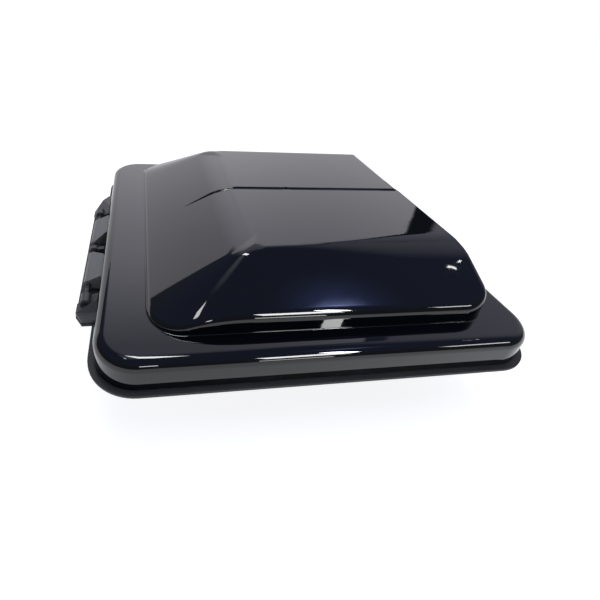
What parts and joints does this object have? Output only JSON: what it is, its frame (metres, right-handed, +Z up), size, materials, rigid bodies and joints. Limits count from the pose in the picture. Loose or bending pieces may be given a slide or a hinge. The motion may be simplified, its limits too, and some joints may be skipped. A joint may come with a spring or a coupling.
{
  "type": "roof vent fan",
  "caption": "Square roof vent fan with a hinged gloss-black wedge-domed lid, crank-driven lift arms, a motor and fan in the neck, and an insect screen below.",
  "frame": {"origin": "centre of the square lid in the roof plane, on the underside of the flange", "axes": "+Z up out of the roof, +X away from the hinge, +Y along the hinge towards the far side of the picture"},
  "size_m": [0.459, 0.442, 0.1613],
  "materials": {
    "lid_gloss": "gloss",
    "base_plastic": "matte",
    "hinge_plastic": "matte",
    "seal_rubber": "matte",
    "zinc_screw": "satin",
    "steel_rod": "satin",
    "zinc_plate": "satin",
    "roller_nylon": "satin",
    "wheel_brass": "satin",
    "motor_steel": "satin",
    "fan_white": "satin",
    "knob_black": "satin",
    "screen_black": "matte"
  },
  "bodies": {
    "base": {"base_frame": "base_plastic", "curb_seal": "seal_rubber", "hinge_brackets": "hinge_plastic", "hinge_rib": "hinge_plastic", "bracket_screws": "zinc_screw", "hinge_rod": "steel_rod", "operator_frame": "zinc_plate", "bearing_frame": "zinc_plate", "frame_screws": "zinc_screw", "fan_shroud": "base_plastic", "shroud_screws": "zinc_screw", "motor_bracket": "zinc_plate", "bracket_bolts": "zinc_screw", "motor_can": "motor_steel", "motor_endcap": "knob_black", "motor_bolts": "zinc_screw", "screen_frame": "base_plastic", "screen_mesh": "screen_black", "screen_screws": "zinc_screw", "speed_switch": "knob_black", "rocker_bezel": "knob_black"},
    "lid": {"lid_shell": "lid_gloss", "hinge_lugs": "hinge_plastic", "lug_screws": "zinc_screw", "lift_tracks": "zinc_plate", "track_screws": "zinc_screw"},
    "lift": {"lift_shaft": "steel_rod", "lift_arms": "zinc_plate", "arm_rollers": "roller_nylon", "worm_wheel": "wheel_brass"},
    "crank": {"worm_shaft": "steel_rod", "crank_knob": "knob_black", "knob_screw": "zinc_screw"},
    "fan": {"motor_shaft": "steel_rod", "fan_rotor": "fan_white", "rotor_nut": "zinc_screw"},
    "speed": {"speed_knob": "knob_black"},
    "rocker": {"rocker": "knob_black"}
  },
  "joints": [
    {"name": "lid_hinge", "type": "hinge", "parent": "base", "child": "lid", "pos_m": [-0.229, -0.016, 0.011], "axis": [0, -1, 0], "range_deg": [0, 60]},
    {"name": "lift_turn", "type": "hinge", "parent": "base", "child": "lift", "pos_m": [-0.1493, 0, 0.01797], "axis": [0, -1, 0], "range_deg": [0, 120]},
    {"name": "crank_turn", "type": "hinge", "parent": "base", "child": "crank", "pos_m": [-0.1301, -0.104, -0.06], "axis": [0, 0, -1], "range_deg": [0, 1920]},
    {"name": "fan_spin", "type": "hinge", "parent": "base", "child": "fan", "pos_m": [0, 0, -0.023], "axis": [0, 0, 1], "continuous": true},
    {"name": "speed_turn", "type": "hinge", "parent": "base", "child": "speed", "pos_m": [0.13, -0.13, -0.056], "axis": [0, 0, -1], "range_deg": [0, 270]},
    {"name": "rocker_tilt", "type": "hinge", "parent": "base", "child": "rocker", "pos_m": [0.13, 0.13, -0.045], "axis": [1, 0, 0], "range_deg": [-9, 9]}
  ],
  "couplings": [
    {"joint": "lift_turn", "follows": "lid_hinge", "ratio": 2},
    {"joint": "crank_turn", "follows": "lid_hinge", "ratio": 32}
  ]
}
